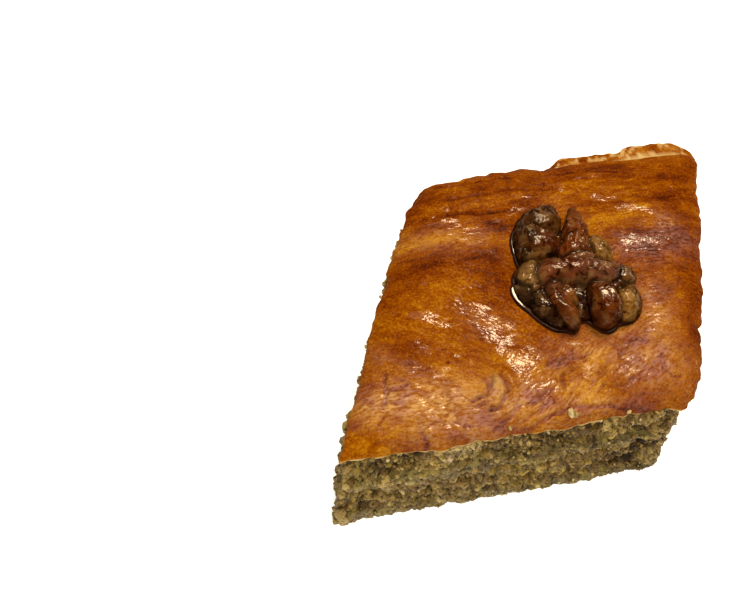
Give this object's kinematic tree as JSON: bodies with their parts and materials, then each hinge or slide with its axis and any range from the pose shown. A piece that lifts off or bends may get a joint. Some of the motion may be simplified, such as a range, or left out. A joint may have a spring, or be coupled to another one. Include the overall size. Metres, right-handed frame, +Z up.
{
  "type": "baklava piece",
  "caption": "Diamond-cut piece of nut baklava: glazed pastry lid over crumbly nut filling parted by a pastry sheet, with a walnut half pressed into the top.",
  "frame": {"origin": "on the board under the middle of the whole piece's bounding box", "axes": "+X along the front cut towards the obtuse front right corner, +Y from the front cut to the back cut, +Z up"},
  "size_m": [0.09, 0.0656, 0.0292],
  "materials": {
    "pastry": "soft baked dough, cut, matt",
    "nut_filling": "crumbly ground nut, matt",
    "glazed_crust": "egg-washed and syrup-glazed crust, satin gloss",
    "glazed_walnut": "syrup-glazed roasted walnut, glossy"
  },
  "bodies": {
    "root": {"base_pastry": "pastry", "lower_nut_filling": "nut_filling", "middle_pastry": "pastry", "upper_nut_filling": "nut_filling", "glazed_lid": "glazed_crust", "walnut_half": "glazed_walnut"}
  },
  "joints": []
}
